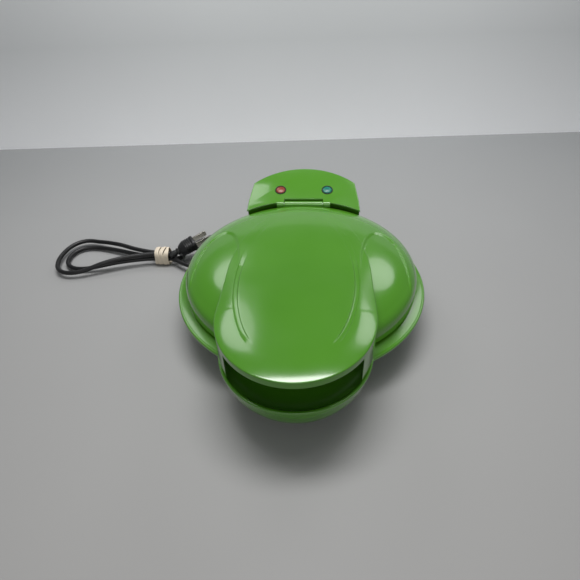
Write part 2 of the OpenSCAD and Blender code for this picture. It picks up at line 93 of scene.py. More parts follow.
# Hinge and tower.
HINGE_Y = 98.0
HINGE_Z = 64.5
BARREL_R = 3.5
PIN_HOLE_R = 1.65
KNUCKLE = 21.0
EAR_W = 8.0
EAR_GAP = 0.3
TOWER_SEAM = LID_R - 8
TOWER_FRONT = LID_R - 40
TOWER_Z = 68.8
TOWER_TILT = math.radians(17.7)
TOWER_HALF = 57.0
TOWER_SEAM_HALF = 60.5
TOWER_FRONT_HALF = 62.5
TOWER_REACH = 66
TOWER_SIDE_END = 125
ARC_RISE = 22.0
TOWER_ARC_R = (TOWER_HALF ** 2 + ARC_RISE ** 2) / (2 * ARC_RISE)
TOWER_ARC_Y = TOWER_SIDE_END + ARC_RISE - TOWER_ARC_R
HOOD_IN = 11.5
HOOD_ENDS = 8
LIGHT_X = 26.0
LIGHT_Y = 114.5
LIGHT_HOLE_R = 6.25

# Where the lead leaves the tower, and the lead's hank of two loops, which a band holds at its waist.
GLAND_TURN = math.radians(35)
GLAND_Z = 18.0
GLAND_OUT = 15
GLAND_DIR = Vector((-math.sin(GLAND_TURN), math.cos(GLAND_TURN), 0))
GLAND_C = Vector((0, TOWER_ARC_Y + MID_Y, GLAND_Z)) + GLAND_DIR * TOWER_ARC_R
GLAND_TIP = GLAND_C + GLAND_DIR * GLAND_OUT
CORD_D = 5.0
HANK_LEN = 172.0
HANK_WIDE = 30.0
HANK_RIGHT_X = -120.0
HANK_LOW_X = -222
FOLD_SPREAD = 300
LOOP_SHIFT = CORD_D * 3.4
WAIST_GAP = CORD_D * 0.74
TURN_RISE = 6.3
HALF = HANK_LEN / 2
HANK_MID = HANK_RIGHT_X - HALF
WAIST = (-158.0, 82.0)
WAIST_T = math.degrees(math.acos((WAIST[0] - HANK_MID) / HALF))
T_END = 720 - WAIST_T
FREE_POINTS = (
    (-145, 93, 2.7), (-140, 103, 2.7), (-135.5, 113, 2.7), (-129.5, 122.5, 2.7), (-121, 130, 2.7),
    (-112, 136, 2.7), (-104, 143.5, 2.7), (-96.5, 151.5, 3.4), (-89.1, 158.4, 5.5), (-81.7, 162.4, 9),
    (-73.7, 162.9, 13), (-66, 160.2, 16.6),
)


def make_camera():
    """The photograph's place, tilt and lens."""
    cam_data = bpy.data.cameras.new("camera")
    cam = bpy.data.objects.new("camera", cam_data)
    scene.collection.objects.link(cam)
    pitch, yaw, roll = math.radians(40.0), math.radians(-4.6), math.radians(-2.2)
    ahead = Vector((math.sin(yaw) * math.cos(pitch), math.cos(yaw) * math.cos(pitch), -math.sin(pitch)))
    level = Vector((math.cos(yaw), -math.sin(yaw), 0))
    upright = level.cross(ahead)
    right = level * math.cos(roll) + upright * math.sin(roll)
    up = upright * math.cos(roll) - level * math.sin(roll)
    place = Matrix([[right[i], up[i], -ahead[i]] for i in range(3)]).to_4x4()
    place.translation = Vector((16.9, -342.1 + MID_Y, 311.5)) * MM
    cam.matrix_world = place
    focal_pixels, image_pixels = 450, 580
    cam_data.sensor_width = 36
    cam_data.lens = focal_pixels / image_pixels * 36
    cam_data.clip_start = 0.01
    cam_data.clip_end = 20
    scene.camera = cam


make_camera()


# The lead's route repeats the solids' route: the hank's formula and the free length's points.
def hank_point(t):
    """A point of the hank, t degrees round its loops. They lie lower towards their far end."""
    c = math.cos(math.radians(t))
    x = HANK_MID + HALF * c + LOOP_SHIFT * t / T_END * (1 - c) / 2
    off = (x - WAIST[0]) / HALF
    spread = FOLD_SPREAD if off > 0 else HANK_WIDE * (1.08 - 0.45 * t / T_END)
    low = 1 if x > HANK_LOW_X else max(0.4, 1 - 0.6 * (HANK_LOW_X - x) / 30)
    y = WAIST[1] - math.sin(math.radians(t)) * (WAIST_GAP + spread * off * off)
    y += max(0, WAIST[0] - x) * 0.03
    z = CORD_D / 2 + 0.1 + (1.6 + TURN_RISE * (T_END - t) / 360) * low
    return Vector((x, y, z))


def curve_through(points, steps):
    """A smooth curve through the points, with a number of steps between each two."""
    out = []
    for i in range(len(points) - 1):
        a = points[max(0, i - 1)]
        b = points[i]
        c = points[i + 1]
        d = points[min(len(points) - 1, i + 2)]
        for j in range(steps):
            t = j / steps
            cubic = 3 * b - a - 3 * c + d
            out.append(0.5 * (2 * b + (c - a) * t + (2 * a - 5 * b + 4 * c - d) * t * t + cubic * t ** 3))
    out.append(points[-1])
    return out


def make_cord():
    ahead = Vector((5, 0, 0))
    core = [hank_point(WAIST_T + (T_END - WAIST_T) * i / 48) for i in range(49)]
    hank = [core[0] + ahead] + core + [core[-1] + ahead]
    free = [hank[-1], hank[-1] + ahead] + [Vector(p) for p in FREE_POINTS]
    free += [GLAND_TIP + GLAND_DIR * 5, GLAND_TIP]
    route = curve_through(free, 3)[::-1] + curve_through(hank, 3)[::-1][1:]
    route = [p * MM for p in route]
    length = sum((b - a).length for a, b in zip(route, route[1:]))
    data = bpy.data.curves.new("lead", "CURVE")
    data.dimensions = "3D"
    spline = data.splines.new("POLY")
    spline.points.add(len(route) - 1)
    for p, q in zip(spline.points, route):
        p.co = (q.x, q.y, q.z, 1)
    data.bevel_depth = CORD_D / 2 * MM
    data.bevel_resolution = 5
    data.use_fill_caps = True
    obj = bpy.data.objects.new("lead", data)
    scene.collection.objects.link(obj)
    return obj, length, hank[0]


lead, lead_length, hank_start = make_cord()


# Mesh helpers.
def add_mesh(name, verts, faces):
    data = bpy.data.meshes.new(name)
    data.from_pydata([(v[0] * MM, (v[1] + MID_Y) * MM, v[2] * MM) for v in verts], [], faces)
    obj = bpy.data.objects.new(name, data)
    scene.collection.objects.link(obj)
    bm = bmesh.new()
    bm.from_mesh(data)
    bmesh.ops.recalc_face_normals(bm, faces=bm.faces)
    bm.to_mesh(data)
    bm.free()
    return obj


def circle(radius, z, n, centre=(0, 0)):
    turns = [2 * math.pi * i / n for i in range(n)]
    return [(centre[0] + radius * math.cos(a), centre[1] + radius * math.sin(a), z) for a in turns]


def ring_faces(rings, n, first=0):
    """The faces between successive rings of n points, counted from point number first."""
    faces = []
    for k in range(rings - 1):
        a = first + k * n
        b = a + n
        for i in range(n):
            j = (i + 1) % n
            faces.append([a + i, a + j, b + j, b + i])
    return faces


def end_faces(rings, n):
    return [list(range(n)), list(range((rings - 1) * n, rings * n))]


def squared(angle, power):
    """A point on a circle of radius 1 that is squared off; power 2 leaves it round."""
    c, s = math.cos(angle), math.sin(angle)
    k = (abs(c) ** power + abs(s) ** power) ** (-1 / power)
    return c * k, s * k


def moved_in(outline, i, d):
    """Point i of an anticlockwise outline, moved in by d. A clockwise one takes a negative d."""
    x, y = outline[i]
    px, py = outline[i - 1]
    qx, qy = outline[(i + 1) % len(outline)]
    tx, ty = qx - px, qy - py
    k = math.hypot(tx, ty)
    return (x - ty / k * d, y + tx / k * d)


def between(p, q, t):
    return (p[0] + (q[0] - p[0]) * t, p[1] + (q[1] - p[1]) * t)


def revolve(name, profile, n=192, centre=(0, 0)):
    """A closed solid from (radius, height) points. Points on the axis become poles."""
    verts, rings = [], []
    for radius, z in profile:
        if radius < 1e-6:
            rings.append([len(verts)] * n)
            verts.append((centre[0], centre[1], z))
        else:
            rings.append(list(range(len(verts), len(verts) + n)))
            verts += circle(radius, z, n, centre)
    pairs = list(zip(rings, rings[1:]))
    if profile[0][0] > 1e-6:
        pairs.append((rings[-1], rings[0]))
    faces = []
    for a, b in pairs:
        for i in range(n):
            j = (i + 1) % n
            corners = [a[i], a[j], b[j], b[i]]
            distinct = [v for k, v in enumerate(corners) if v != corners[k - 1]]
            if len(distinct) > 2:
                faces.append(distinct)
    return add_mesh(name, verts, faces)


def drum(radius, bottom, top, n=192):
    """A plain round body for cutting."""
    return revolve("cut", [(0, bottom), (radius, bottom), (radius, top), (0, top)], n)


def soften(points):
    """Rounds an open profile by cutting its corners twice, with both ends kept."""
    for _ in range(2):
        out = [points[0]]
        for a, b in zip(points, points[1:]):
            out.append((a[0] * 0.75 + b[0] * 0.25, a[1] * 0.75 + b[1] * 0.25))
            out.append((a[0] * 0.25 + b[0] * 0.75, a[1] * 0.25 + b[1] * 0.75))
        out.append(points[-1])
        points = out
    return points


def prism(name, plan, bottom, top):
    """A closed solid over a plan outline. bottom and top are heights or functions of x and y."""
    n = len(plan)
    low = [(x, y, bottom(x, y) if callable(bottom) else bottom) for x, y in plan]
    high = [(x, y, top(x, y) if callable(top) else top) for x, y in plan]
    faces = [[i, (i + 1) % n, n + (i + 1) % n, n + i] for i in range(n)]
    faces += [list(range(n))[::-1], list(range(n, 2 * n))]
    return add_mesh(name, low + high, faces)


def box(name, x0, x1, y0, y1, z0, z1):
    return prism(name, [(x0, y0), (x1, y0), (x1, y1), (x0, y1)], z0, z1)


def bar(name, x0, x1, radius, ease=0.0):
    """A round bar along the hinge's axis, its ends rounded by ease."""
    n = 48
    stops = [(x0, radius), (x1, radius)]
    if ease:
        stops = [(x0, radius - ease), (x0 + ease, radius), (x1 - ease, radius), (x1, radius - ease)]
    verts = []
    for x, r in stops:
        verts += [(x, y, z) for y, z, _ in circle(r, 0, n, (HINGE_Y, HINGE_Z))]
    return add_mesh(name, verts, ring_faces(len(stops), n) + end_faces(len(stops), n))


def combine(obj, other, kind):
    mod = obj.modifiers.new(kind, "BOOLEAN")
    mod.operation = kind
    mod.solver = "EXACT"
    mod.object = other
    graph = bpy.context.evaluated_depsgraph_get()
    data = bpy.data.meshes.new_from_object(obj.evaluated_get(graph))
    obj.modifiers.clear()
    old = obj.data
    obj.data = data
    bpy.data.meshes.remove(old)
    bpy.data.objects.remove(other)


def cut(obj, other):
    combine(obj, other, "DIFFERENCE")


def join(obj, other):
    combine(obj, other, "UNION")


def smooth(obj):
    """Smooth shading, with the edges sharper than 35 degrees kept sharp."""
    limit = math.radians(35)
    bm = bmesh.new()
    bm.from_mesh(obj.data)
    bmesh.ops.remove_doubles(bm, verts=bm.verts, dist=1e-6)
    bmesh.ops.dissolve_degenerate(bm, edges=bm.edges, dist=1e-7)
    for f in bm.faces:
        f.smooth = True
    for e in bm.edges:
        e.smooth = len(e.link_faces) == 2 and e.calc_face_angle(0) < limit
    bm.to_mesh(obj.data)
    bm.free()


def step(a, b, v):
    """0 at a, 1 at b and an even ease between them. a may be the larger."""
    t = min(1.0, max(0.0, (v - a) / (b - a)))
    return t * t * (3 - 2 * t)


# Lid: dome with its two side panels.
def dome_height(r, top, edge, outer):
    return edge + (top - edge) * max(0.0, 1 - (r / outer) ** 3) ** (1 / 2.6)


def dome_inside(steps):
    """The line of the dome's inside, from its wall to near its middle."""
    outer = LID_R - WALL
    radii = [outer * math.cos(math.pi / 2 * k / steps) for k in range(1, steps)]
    return [(r, dome_height(r, DOME_Z - WALL, SHOULDER_Z - 1, outer)) for r in radii]


def lobe(x, y):
    """0 outside the two side panels of the lid, 1 inside them."""
    d = math.hypot((abs(x) - LOBE_X) / LOBE_HALF_X, (y - LOBE_Y) / LOBE_HALF_Y)
    return 1 - step(0.955, 1.0, d)


def lid_top(x, y):
    """Height of the dome outside the upper handle."""
    r = math.hypot(x, y)
    sunk = LOBE_DEPTH * lobe(x, y) * step(LID_R, LID_R - 9, r)
    return dome_height(r, DOME_Z, SHOULDER_Z, LID_R) - sunk


def make_dome():
    n, m = 360, 96
    verts = [(0, 0, DOME_Z)]
    for k in range(m):
        radius = LID_R * math.sin(math.pi / 2 * (k + 1) / m)
        for x, y, _ in circle(radius, 0, n):
            verts.append((x, y, lid_top(x, y) if k < m - 1 else SHOULDER_Z))
    rim = [(LID_R, LID_Z + 0.6), (LID_R - 0.5, LID_Z), (LID_R - WALL, LID_Z), (LID_R - WALL, SHOULDER_Z - 1)]
    rim += dome_inside(20)
    for radius, z in rim:
        verts += circle(radius, z, n)
    rings = m + len(rim)
    last = 1 + (rings - 1) * n
    pole = len(verts)
    verts.append((0, 0, DOME_Z - WALL))
    faces = [[0, 1 + i, 1 + (i + 1) % n] for i in range(n)]
    faces += [[a, d, c, b] for a, b, c, d in ring_faces(rings, n, 1)]
    faces += [[pole, last + (i + 1) % n, last + i] for i in range(n)]
    return add_mesh("lid_dome", verts, faces)


# Upper handle: a crowned plate over a skirt, with a groove round its panel.
def tongue_top(x, y, crown=True):
    """Height of the handle's top before it runs into the dome. Without its crown it is a plane."""
    plane = TONGUE_Z - (y + TONGUE_Y + TONGUE_L) * TONGUE_FALL
    return plane - x * x / (2 * CROWN_R) if crown else plane


def outline_points(n, inset=0.0):
    """n points evenly spread on the handle's outline, anticlockwise from its right side."""
    wide = TONGUE_W - inset
    raw = []
    for i in range(721):
        a = math.pi * i / 720
        raw.append((wide * math.cos(a), -TONGUE_Y + TONGUE_SIDE + TONGUE_REAR * math.sin(a)))
    for i in range(721):
        a = math.pi + math.pi * i / 720
        raw.append((wide * math.cos(a), -TONGUE_Y + (TONGUE_L - inset) * math.sin(a)))
    raw.append(raw[0])
    dist = [0.0]
    for p, q in zip(raw, raw[1:]):
        dist.append(dist[-1] + math.dist(p, q))
    out, k = [], 0
    for i in range(n):
        s = dist[-1] * i / n
        while dist[k + 1] < s:
            k += 1
        out.append(between(raw[k], raw[k + 1], (s - dist[k]) / max(1e-9, dist[k + 1] - dist[k])))
    return out


def groove_point(way, grow=0.0):
    """Where the groove's ellipse, made larger by grow, lies in one direction from its middle."""
    dx, dy = way
    k = 1 / math.sqrt((dx / (GROOVE_HALF_X + grow)) ** 2 + (dy / (GROOVE_HALF_Y + grow)) ** 2)
    return (GROOVE_X + dx * k, GROOVE_Y + dy * k)


def roll_off(x, y):
    """How far the handle's top has rolled down near its outline."""
    if y < -TONGUE_Y:
        d = (1 - math.hypot(x / TONGUE_W, (y + TONGUE_Y) / TONGUE_L)) * 68
    elif y < -TONGUE_Y + TONGUE_SIDE:
        d = TONGUE_W - abs(x)
    else:
        d = (1 - math.hypot(x / TONGUE_W, (y + TONGUE_Y - TONGUE_SIDE) / TONGUE_REAR)) * TONGUE_W
    d = max(0.0, d)
    return ROLL_H * max(0.0, 1 - d / ROLL_W) ** 2 * (1 - step(-70, 0, y))


def top_height(x, y):
    """Handle and dome, whichever is higher, with a soft valley where they meet."""
    plane = tongue_top(x, y) - roll_off(x, y)
    dome = lid_top(x, y) + 0.04
    valley = 1.6
    h = max(valley - abs(plane - dome), 0) / valley
    return max(plane, dome) + h * h * valley * 0.25


def make_tongue():
    n = 400
    edge = outline_points(n)
    foot_z = LIP_Z + 1
    rows = [[(x, y, foot_z) for x, y in edge]]
    rows.append([(x, y, (foot_z + top_height(x, y)) / 2) for x, y in edge])

    def add_row(points, drop=lambda y: 0.0):
        rows.append([(x, y, top_height(x, y) - drop(y)) for x, y in points])

    # The top edge is rounded by about half a millimetre.
    for inset, down in ((0.0, 0.75), (0.06, 0.42), (0.22, 0.16), (0.5, 0.03)):
        add_row([moved_in(edge, i, inset) for i in range(n)], lambda y: down)
    ways = []
    for x, y in edge:
        dx, dy = x - GROOVE_X, y - GROOVE_Y
        k = math.hypot(dx, dy)
        ways.append((dx / k, dy / k))
    shore = [moved_in(edge, i, 0.9) for i in range(n)]
    brink = [groove_point(way, GROOVE_BRINK) for way in ways]
    for j in range(15):
        add_row([between(p, q, j / 15) for p, q in zip(shore, brink)])
    # The groove is a channel about 0.8 mm deep. It fades out towards the front.
    side = ((2.7, 0.0), (2.2, 0.03), (1.9, 0.3), (1.65, 0.7), (1.3, 0.78))
    channel = side + ((0.0, 0.72),) + tuple((-grow, depth) for grow, depth in side[::-1])
    for grow, depth in channel:
        add_row([groove_point(way, grow) for way in ways], lambda y: depth * step(-126, -112, y))
    inner = [groove_point(way, -GROOVE_BRINK) for way in ways]
    middle = (GROOVE_X, GROOVE_Y)
    for j in range(1, 40):
        add_row([between(middle, p, 1 - j / 40) for p in inner])
    verts = [v for row in rows for v in row]
    last, pole = (len(rows) - 1) * n, len(verts)
    verts.append((GROOVE_X, GROOVE_Y, top_height(GROOVE_X, GROOVE_Y)))
    faces = [list(range(n))[::-1]] + ring_faces(len(rows), n)
    faces += [[last + i, last + (i + 1) % n, pole] for i in range(n)]
    return add_mesh("upper_handle", verts, faces)


def finger_space():
    """The hollow under the handle, in front of the dome."""
    inset = [p for p in outline_points(160, WALL) if p[1] < -20]
    solid = prism("cut", inset, 30, lambda x, y: tongue_top(x, y) - WALL)
    cut(solid, drum(LID_R, 20, 120))
    return solid


def window():
    """The opening in the front of the handle's skirt."""
    w = WINDOW_W / 2
    plan = [(-w, -200), (w, -200), (w, -LID_R - 4), (-w, -LID_R - 4)]
    return prism("cut", plan, 20, lambda x, y: tongue_top(x, y, False) - SKIRT_H)


def dome_room():
    """The room inside the dome, which the handle leaves free."""
    r = LID_R - WALL
    line = [(0, LID_Z - 4), (r, LID_Z - 4), (r, SHOULDER_Z - 1)] + dome_inside(24) + [(0, DOME_Z - WALL)]
    return revolve("cut", line)


lid_dome = make_dome()
upper_handle = make_tongue()
cut(upper_handle, finger_space())
cut(upper_handle, window())
cut(upper_handle, dome_room())

# The barrel on the lid's shoulder, its short web, the notches that clear the tower's ears, and
# the lid's rear edge, cut to clear the base as it swings.
lid_barrel = bar("lid_barrel", -KNUCKLE, KNUCKLE, BARREL_R, 0.4)
join(lid_barrel, box("web", -KNUCKLE, KNUCKLE, HINGE_Y - 4, HINGE_Y, HINGE_Z - 5, HINGE_Z + BARREL_R * 0.5))
cut(lid_barrel, bar("cut", -30, 30, PIN_HOLE_R))
for side in (-1, 1):
    near, far = side * KNUCKLE, side * (KNUCKLE + EAR_W + 0.6)
    cut(lid_dome, bar("cut", min(near, far), max(near, far), BARREL_R + 0.6))
cut(lid_dome, box("cut", -40, 40, HINGE_Y - 10, HINGE_Y + 30, LID_Z - 1, LID_Z + 1.8))

# Base: round bowl with its rim, the lower lip and the lower half of the hinge tower.
bowl_side = soften([
    (BASE_R - 29.5, BOTTOM_Z), (BASE_R - 20, BOTTOM_Z + 2.6), (BASE_R - 11.5, BOTTOM_Z + 10.4),
    (BASE_R - 5.5, BOTTOM_Z + 19.5), (BASE_R - 2, RIM_Z - 6), (BASE_R - 1.2, RIM_Z - 4.2),
])
rim = soften([
    (BASE_R - 0.8, RIM_Z - 3.9), (BASE_R, RIM_Z - 3.2), (BASE_R, RIM_Z - 0.6), (BASE_R - 1.2, RIM_Z),
    (BASE_R - 2.6, RIM_Z - 0.3),
])
bowl_top = [(BASE_R - 8.5, SEAT_TOP - 1.4), (0, SEAT_TOP - 1.4)]
base = revolve("base", [(0, BOTTOM_Z)] + bowl_side + rim + bowl_top, 256)
lip_side = soften([
    (LIP_R - 22, BOTTOM_Z + 4), (LIP_R - 14, BOTTOM_Z + 9), (LIP_R - 7, BOTTOM_Z + 19),
    (LIP_R - 2.6, LIP_Z - 13), (LIP_R - 0.6, LIP_Z - 5), (LIP_R, LIP_Z - 1.6),
])
lip_top = soften([
    (LIP_R, LIP_Z - 1.2), (LIP_R - 0.1, LIP_Z), (LIP_R - 2.0, LIP_Z + 0.1), (LIP_R - 3.4, LIP_Z - 1.6),
    (LIP_R - 9, LIP_Z - DISH_D * 0.55), (LIP_R - 20, LIP_Z - DISH_D * 0.85), (LIP_R - 36, LIP_Z - DISH_D),
])
lip_line = [(0, BOTTOM_Z + 4)] + lip_side + lip_top + [(0, LIP_Z - DISH_D)]
lip = revolve("lip", lip_line, 256, (0, -LIP_Y))
cut(lip, drum(LID_R + 2, SEAT_TOP - 1, 120, 256))


def tower_plan(inset=0.0):
    """The tower's outline, clockwise from its front left corner."""
    r = TOWER_ARC_R - inset
    half = math.asin((TOWER_HALF - inset) / r)
    turns = [-half + 2 * half * i / 64 for i in range(65)]
    arc = [(r * math.sin(a), TOWER_ARC_Y + r * math.cos(a)) for a in turns]
    left = [(-TOWER_FRONT_HALF + inset, TOWER_FRONT), (-TOWER_SEAM_HALF + inset, TOWER_SEAM)]
    right = [(TOWER_SEAM_HALF - inset, TOWER_SEAM), (TOWER_FRONT_HALF - inset, TOWER_FRONT)]
    return left + arc + right


join(base, lip)
join(base, prism("tower_low", tower_plan(), BOTTOM_Z, SEAT_TOP - 0.2))
base_room = [
    (0, BOTTOM_Z - 1), (BASE_R - 30.5, BOTTOM_Z - 1), (BASE_R - 30.5, BOTTOM_Z + WALL),
    (BASE_R - 21.5, BOTTOM_Z + WALL + 2.8), (BASE_R - 14, BOTTOM_Z + WALL + 10),
    (BASE_R - 8.7, BOTTOM_Z + WALL + 18), (BASE_R - 8, LEDGE_LOW), (LEDGE_IN, LEDGE_LOW),
    (LEDGE_IN, SEAT_LOW), (SEAT_R, SEAT_LOW), (SEAT_R, 60), (0, 60),
]
cut(base, revolve("cut", base_room, 256))
lip_room = [
    (0, BOTTOM_Z + 7), (LIP_R - 23, BOTTOM_Z + 7), (LIP_R - 16.5, BOTTOM_Z + 14), (LIP_R - 10, BOTTOM_Z + 22),
    (LIP_R - 6, LIP_Z - 13), (LIP_R - 9, LIP_Z - DISH_D * 0.55 - WALL),
    (LIP_R - 20, LIP_Z - DISH_D * 0.85 - WALL), (0, LIP_Z - DISH_D - WALL),
]
cut(base, revolve("cut", lip_room, 128, (0, -LIP_Y)))
cut(base, prism("cut", tower_plan(WALL), BOTTOM_Z + WALL, 60))


# Upper half of the tower: sloping top, thin hood over the lid's edge, and two ears for the pin.
def slope_z(x, y):
    """Height of the tower's sloping top."""
    return TOWER_Z + (y - TOWER_SEAM) * math.tan(TOWER_TILT)


def hood_y(x):
    """Where the hood's front edge lies."""
    r = LID_R - HOOD_IN + HOOD_ENDS * min(abs(x), 64) / TOWER_SEAM_HALF
    return math.sqrt(r * r - x * x)


def make_tower():
    """The tower's outer form, with its top edge rounded by about a millimetre."""
    edge = []
    plan = tower_plan()
    for p, q in zip(plan, plan[1:] + plan[:1]):
        k = max(1, int(math.dist(p, q) / 2))
        edge += [(p[0] + (q[0] - p[0]) * j / k, p[1] + (q[1] - p[1]) * j / k) for j in range(k)]
    n = len(edge)
    rows = [[(x, y, SEAT_TOP + 0.1) for x, y in edge]]
    for inset, down in ((0.0, 1.1), (0.08, 0.7), (0.32, 0.32), (0.7, 0.08), (1.1, 0.0)):
        rows.append([(*moved_in(edge, i, -inset), slope_z(*edge[i]) - down) for i in range(n)])
    bottom, top = end_faces(len(rows), n)
    faces = [bottom[::-1], top] + ring_faces(len(rows), n)
    return add_mesh("tower_top", [v for row in rows for v in row], faces)


def lid_room():
    """What the hood leaves free for the lid under it."""
    n, m = 60, 12
    verts, faces = [], []
    for level in (0, 1):
        for i in range(n + 1):
            x = -TOWER_REACH + 2 * TOWER_REACH * i / n
            front = hood_y(x)
            back = math.sqrt((LID_R + 2) ** 2 - x * x)
            for j in range(m + 1):
                y = front - 0.5 + (back - front + 0.5) * j / m
                thick = 1.3 + 1.7 * step(0, 8, y - front)
                verts.append((x, y, slope_z(x, y) - thick if level else SEAT_TOP - 4))
    w = m + 1
    top = (n + 1) * w
    for i in range(n):
        for j in range(m):
            k = i * w + j
            faces.append([k, k + 1, k + w + 1, k + w])
            faces.append([top + k, top + k + w, top + k + w + 1, top + k + 1])
    for i in range(n):
        for j in (0, m):
            k = i * w + j
            faces.append([k, k + w, top + k + w, top + k])
    for i in (0, n):
        for j in range(m):
            k = i * w + j
            faces.append([k, k + 1, top + k + 1, top + k])
    return add_mesh("cut", verts, faces)


def on_slope(obj, x, y):
    """Moves a piece made about the axis to a place on the tower's slope."""
    place = Matrix.Translation(Vector((x, y + MID_Y, slope_z(x, y))) * MM)
    obj.data.transform(place @ Matrix.Rotation(TOWER_TILT, 4, "X") @ Matrix.Translation((0, -MID_Y * MM, 0)))
    return obj


tower_top = make_tower()
hollow = prism("cut", tower_plan(WALL), SEAT_TOP - 3, lambda x, y: slope_z(x, y) - WALL)
cut(hollow, drum(LID_R + 5, 0, 120))
cut(tower_top, hollow)
front = [(x, hood_y(x)) for x in [-TOWER_REACH + 2 * TOWER_REACH * i / 80 for i in range(81)]]
cut(tower_top, prism("cut", [(-TOWER_REACH, 40)] + front + [(TOWER_REACH, 40)], 20, 120))
cut(tower_top, lid_room())
for side in (-1, 1):
    near, far = side * (KNUCKLE + EAR_GAP), side * (KNUCKLE + EAR_GAP + EAR_W)
    x0, x1 = min(near, far), max(near, far)
    ear = bar("ear", x0, x1, BARREL_R, 0.3)
    join(ear, box("block", x0, x1, HINGE_Y, HINGE_Y + 6, HINGE_Z - BARREL_R, HINGE_Z + BARREL_R))
    join(tower_top, ear)
bay = KNUCKLE + EAR_GAP
cut(tower_top, box("cut", -bay, bay, HINGE_Y - 20, HINGE_Y + BARREL_R + 0.8, HINGE_Z - 6, HINGE_Z + 30))
cut(tower_top, bar("cut", -KNUCKLE - 10, KNUCKLE + 10, PIN_HOLE_R))

# The lights: a thin black collar round each, its black a painted shade for the shadowed gap round the lens,
# and a low domed lens.
SHADE_COLLAR_LINE = [
    (4.9, -3), (6.15, -3), (6.15, 0.5), (6.0, 0.85), (5.7, 0.95), (5.45, 0.8), (5.3, 0.3), (5.2, -0.4),
    (4.9, -0.5),
]
LENS_R, LENS_RISE = 5.15, 1.7
lens_line = [(0, -4.3), (5.1, -4.3), (LENS_R, 0.0)]
for degrees in range(10, 90, 10):
    a = math.radians(degrees)
    lens_line.append((LENS_R * math.cos(a), LENS_RISE * math.sin(a)))
lens_line.append((0, LENS_RISE))
shade_collars, domes = [], []
for side, colour in ((-1, "red"), (1, "green")):
    spot = (side * LIGHT_X, LIGHT_Y)
    cut(tower_top, on_slope(drum(LIGHT_HOLE_R, -20, 5, 64), *spot))
    shade_collars.append(on_slope(revolve("light_shade_collar_" + colour, SHADE_COLLAR_LINE, 64), *spot))
    domes.append(on_slope(revolve("light_" + colour, lens_line, 64), *spot))


# Strain relief: a tapered sleeve with grooves across it.
def make_sleeve():
    profile = [(0, -5), (5.9, -5), (5.9, 0.2), (8.0, 0.2), (8.3, 0.6), (8.2, 1.8), (7.6, 2.4), (5.4, 2.6)]
    for k in range(6):
        z = 3.4 + k * 2.7
        r = 5.2 - 1.7 * k / 6
        profile += [(r, z), (r - 0.06, z + 1.5), (r - 0.75, z + 1.7), (r - 0.8, z + 2.4), (r - 0.3, z + 2.6)]
    profile += [(3.2, 19.6), (2.9, 20.2), (0, 20.2)]
    obj = revolve("strain_sleeve", profile, 48)
    spin = GLAND_DIR.to_track_quat("Z", "Y").to_matrix().to_4x4()
    obj.data.transform(Matrix.Translation(GLAND_C * MM) @ spin @ Matrix.Translation((0, -MID_Y * MM, 0)))
    return obj


sleeve = make_sleeve()


# Rubber band: several wraps round the hank's waist, each a closed flat ring, a little tilted.
def make_band():
    half_y, half_z, mid_z = 7.7, 8.6, 9.7
    wraps_at = (
        (-11.2, 5, 0.0), (-8.4, -9, 0.5), (-5.6, 8, 0.2), (-3.0, -6, 0.8), (-0.4, 10, 0.3), (1.6, -3, 0.0),
    )
    n, m = 72, 10
    verts, faces = [], []
    for dx, tilt, grow in wraps_at:
        start = len(verts)
        for i in range(n):
            a = 2 * math.pi * i / n
            round_y, round_z = squared(a, 3.2)
            y = (half_y + grow) * round_y
            z = (half_z + grow * 0.5) * round_z
            lean = math.tan(math.radians(tilt)) * z * 0.55 + 0.5 * math.sin(2 * a + dx * 2)
            for j in range(m):
                b = 2 * math.pi * j / m
                out = 0.62 * math.cos(b)
                x = dx + 1.75 * math.sin(b) * (1 + 0.15 * math.sin(3 * a + dx)) + lean
                height = max(0.1, mid_z + z + out * math.sin(a))
                verts.append((WAIST[0] + x, WAIST[1] - MID_Y + y + out * math.cos(a), height))
        for i in range(n):
            a0, a1 = start + i * m, start + ((i + 1) % n) * m
            faces += [[a0 + j, a0 + (j + 1) % m, a1 + (j + 1) % m, a1 + j] for j in range(m)]
    return add_mesh("band_wraps", verts, faces)


wraps = make_band()


# Plug: a flattened moulded body with grip ridges, and two flat blades.
def on_plug(obj):
    place = Matrix.Translation((hank_start + Vector((4.3, 0, 0))) * MM)
    turn = Matrix.Rotation(math.radians(32), 4, "Z") @ Matrix.Rotation(math.radians(76), 4, "Y")
    obj.data.transform(place @ turn @ Matrix.Translation((0, -MID_Y * MM, 0)))
    return obj


def make_plug():
    # Each station has its place along the plug, its half width and its half thickness.
    stations = [
        (-5.5, 2.7, 2.7), (-3.0, 3.3, 3.3), (0, 3.7, 3.6), (2.2, 3.9, 3.7), (2.6, 3.2, 3.1), (3.6, 3.2, 3.1),
        (4.0, 4.3, 3.9), (5.6, 4.7, 4.2), (6.0, 3.9, 3.5), (7.0, 4.1, 3.6), (7.4, 5.5, 4.6), (10, 7.2, 5.6),
        (13, 8.9, 6.5),
    ]
    for k in range(4):
        z = 14.5 + k * 2.3
        stations += [(z, 9.9, 7.0), (z + 0.4, 9.4, 6.6), (z + 1.2, 9.4, 6.6), (z + 1.6, 9.9, 7.0)]
    stations += [(24.5, 10.2, 7.3), (26.3, 10.0, 7.1), (26.9, 9.4, 6.6), (27, 8.4, 5.8)]
    n = 64
    verts = []
    for z, wide, thick in stations:
        for i in range(n):
            c, s = squared(2 * math.pi * i / n, 2.7 if z > 8 else 2.0)
            verts.append((thick * c, wide * s, z))
    faces = ring_faces(len(stations), n) + end_faces(len(stations), n)
    return on_plug(add_mesh("plug_shell", verts, faces))


